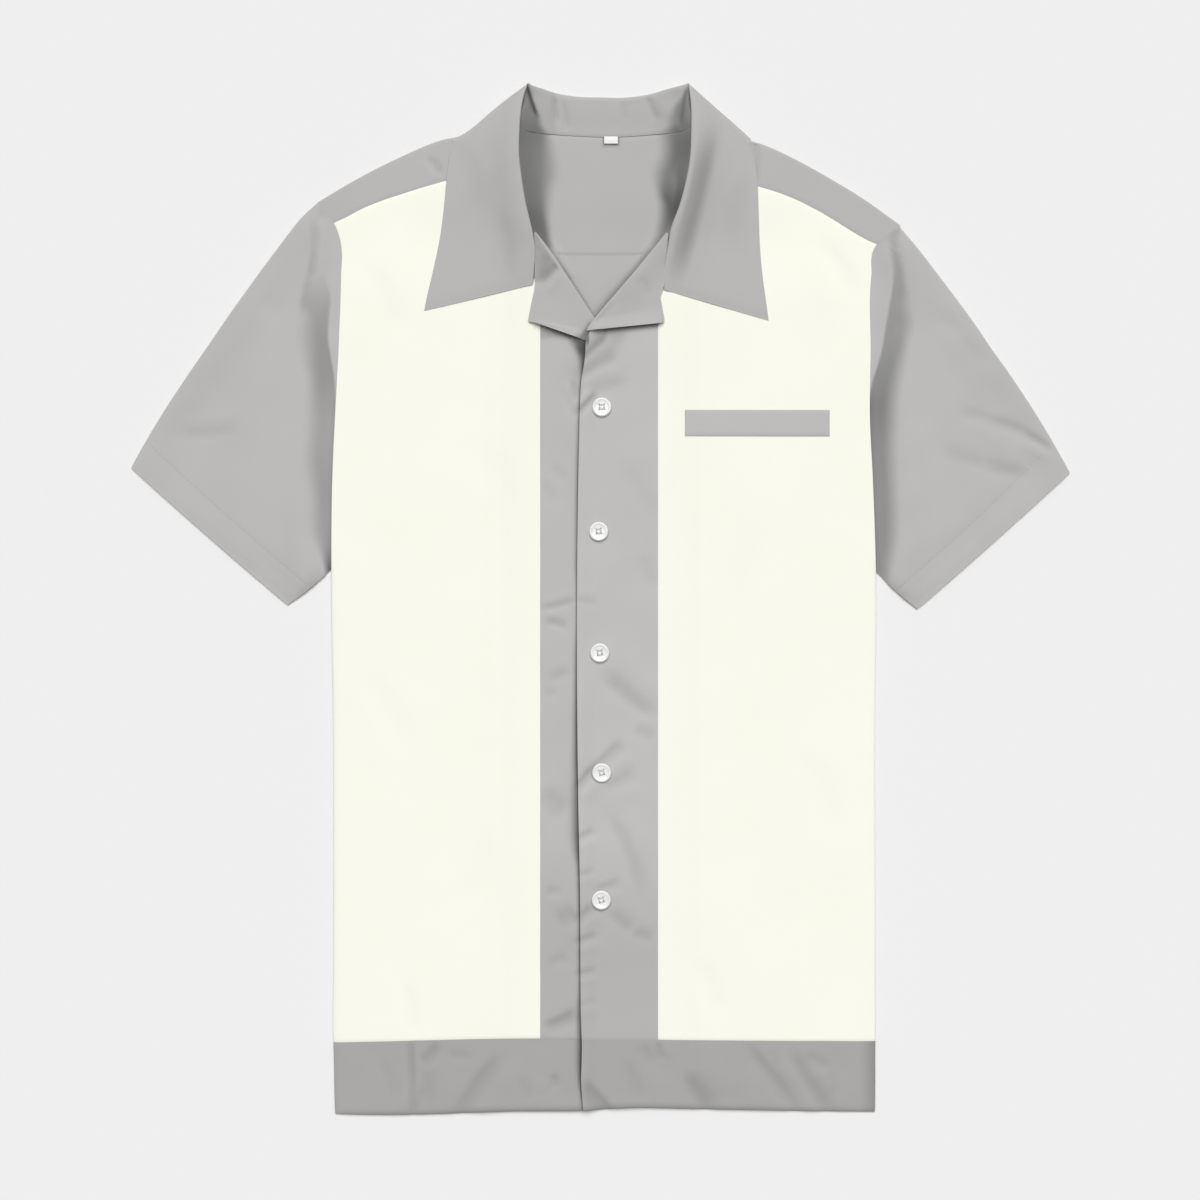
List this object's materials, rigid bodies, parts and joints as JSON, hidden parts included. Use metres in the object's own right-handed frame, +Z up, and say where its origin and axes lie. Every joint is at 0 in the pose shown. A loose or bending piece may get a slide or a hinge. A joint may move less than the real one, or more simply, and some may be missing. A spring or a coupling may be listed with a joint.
{
  "type": "camp collar shirt",
  "caption": "Short-sleeved camp collar shirt laid flat: wide open collar, grey yoke, sleeves, button front and hem band, with ivory side fronts and a chest welt.",
  "frame": {"origin": "on the surface the shirt lies on, under the middle of its overall box", "axes": "+Z up out of the surface, through the thin direction; +Y from the hem to the collar; +X toward the wearer's left side"},
  "size_m": [0.7338, 0.8023, 0.0108],
  "materials": {
    "grey_cloth": "matte plain-weave cotton",
    "ivory_cloth": "matte plain-weave cotton",
    "button_white": "semi-gloss",
    "label_cloth": "matte woven tape"
  },
  "bodies": {
    "root": {"back": "grey_cloth", "hem_band_back": "grey_cloth", "yoke": "grey_cloth", "side_front_right": "ivory_cloth", "side_front_left": "ivory_cloth", "centre_front_right": "grey_cloth", "centre_front_left": "grey_cloth", "hem_band_right": "grey_cloth", "hem_band_left": "grey_cloth", "sleeve_right": "grey_cloth", "sleeve_left": "grey_cloth", "collar": "grey_cloth", "lapel_right": "grey_cloth", "lapel_left": "grey_cloth", "pocket_welt": "grey_cloth", "neck_label": "label_cloth", "button_1": "button_white", "button_2": "button_white", "button_3": "button_white", "button_4": "button_white", "button_5": "button_white"}
  },
  "joints": []
}
